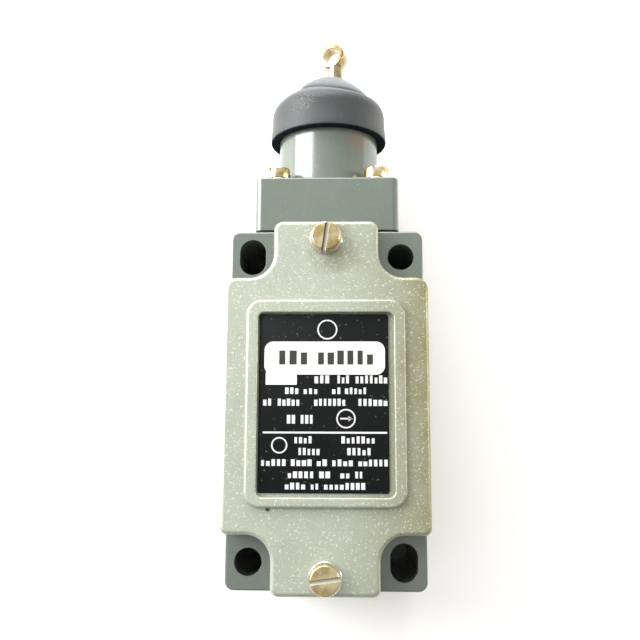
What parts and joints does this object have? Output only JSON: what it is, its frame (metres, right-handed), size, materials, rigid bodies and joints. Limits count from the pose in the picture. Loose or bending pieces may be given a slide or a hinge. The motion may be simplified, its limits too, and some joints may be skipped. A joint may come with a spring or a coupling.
{
  "type": "limit switch",
  "caption": "Metal-cased limit switch with a sprung pull rod and eye under a rubber cap, a bare cast cover, four fixing ears and a bottom cable entry.",
  "frame": {"origin": "middle of the 30 x 60 mm fixing pattern, on the flat mounting face", "axes": "+Z out of the mounting face through the cover, +Y towards the actuator head and its pull rod, +X to the right seen from the cover side"},
  "size_m": [0.04, 0.1198, 0.0392],
  "materials": {
    "paint": "grey-green stove enamel, semi-gloss",
    "cast_cover": "bare die casting, tumbled, with a yellow-green passivation tint",
    "yellow_zinc": "yellow chromated zinc plate",
    "spring_steel": "drawn spring steel",
    "machined_steel": "machined, zinc plated",
    "brass": "stamped and turned brass",
    "rubber": "matt moulded rubber with a grey bloom",
    "label_black": "black printed foil",
    "black_moulding": "moulded thermoset",
    "pale_moulding": "moulded polyester"
  },
  "bodies": {
    "casing": {"housing": "paint", "head_housing": "paint", "cover": "cast_cover", "cover_screw_upper": "yellow_zinc", "cover_screw_lower": "yellow_zinc", "cover_washer_upper": "yellow_zinc", "cover_washer_lower": "yellow_zinc", "head_screw_1": "yellow_zinc", "head_screw_2": "yellow_zinc", "head_screw_3": "yellow_zinc", "head_screw_4": "yellow_zinc", "earth_screw": "yellow_zinc", "terminal_screw_nc_left": "yellow_zinc", "terminal_screw_nc_right": "yellow_zinc", "terminal_screw_no_left": "yellow_zinc", "terminal_screw_no_right": "yellow_zinc", "head_spring_washer_1": "spring_steel", "head_spring_washer_2": "spring_steel", "head_spring_washer_3": "spring_steel", "head_spring_washer_4": "spring_steel", "return_spring": "spring_steel", "carrier_spring": "spring_steel", "rocker_pin": "machined_steel", "block_screw_1": "machined_steel", "block_screw_2": "machined_steel", "earth_clamp": "machined_steel", "terminal_clamp_nc_left": "machined_steel", "terminal_clamp_nc_right": "machined_steel", "terminal_clamp_no_left": "machined_steel", "terminal_clamp_no_right": "machined_steel", "guide_bush": "brass", "fixed_contact_nc_left": "brass", "fixed_contact_nc_right": "brass", "fixed_contact_no_left": "brass", "fixed_contact_no_right": "brass", "rubber_cap": "rubber", "cover_gasket": "rubber", "head_gasket": "rubber", "label_plate": "label_black", "contact_block": "black_moulding", "chamber_cover": "pale_moulding"},
    "slider": {"slider": "machined_steel"},
    "pull_rod": {"pull_rod": "yellow_zinc", "rod_nut": "machined_steel"},
    "rocker": {"rocker": "machined_steel"},
    "contact_carrier": {"contact_carrier": "pale_moulding", "contact_bridge_nc": "brass", "contact_bridge_no": "brass", "contact_spring_nc": "spring_steel", "contact_spring_no": "spring_steel"}
  },
  "joints": [
    {"name": "rod_pull", "type": "slide", "parent": "casing", "child": "slider", "axis": [0, 1, 0], "range_m": [0, 0.0035], "stiffness_N_per_m": 900, "springref_m": -0.006, "deforming": ["return_spring"]},
    {"name": "rod_swivel", "type": "hinge", "parent": "slider", "child": "pull_rod", "pos_m": [0, 0.0432, 0.016], "axis": [0.0454, 0.999, 0], "continuous": true},
    {"name": "rocker_turn", "type": "hinge", "parent": "casing", "child": "rocker", "pos_m": [0, 0.0376, 0.0178], "axis": [-1, 0, 0], "range_deg": [0, 61.36]},
    {"name": "carrier_slide", "type": "slide", "parent": "casing", "child": "contact_carrier", "axis": [0, -1, 0], "range_m": [0, 0.00351], "deforming": ["carrier_spring"]}
  ],
  "couplings": [
    {"joint": "rocker_turn", "follows": "rod_pull", "rad_per_m": 305.95},
    {"joint": "carrier_slide", "follows": "rod_pull", "ratio": 1}
  ]
}
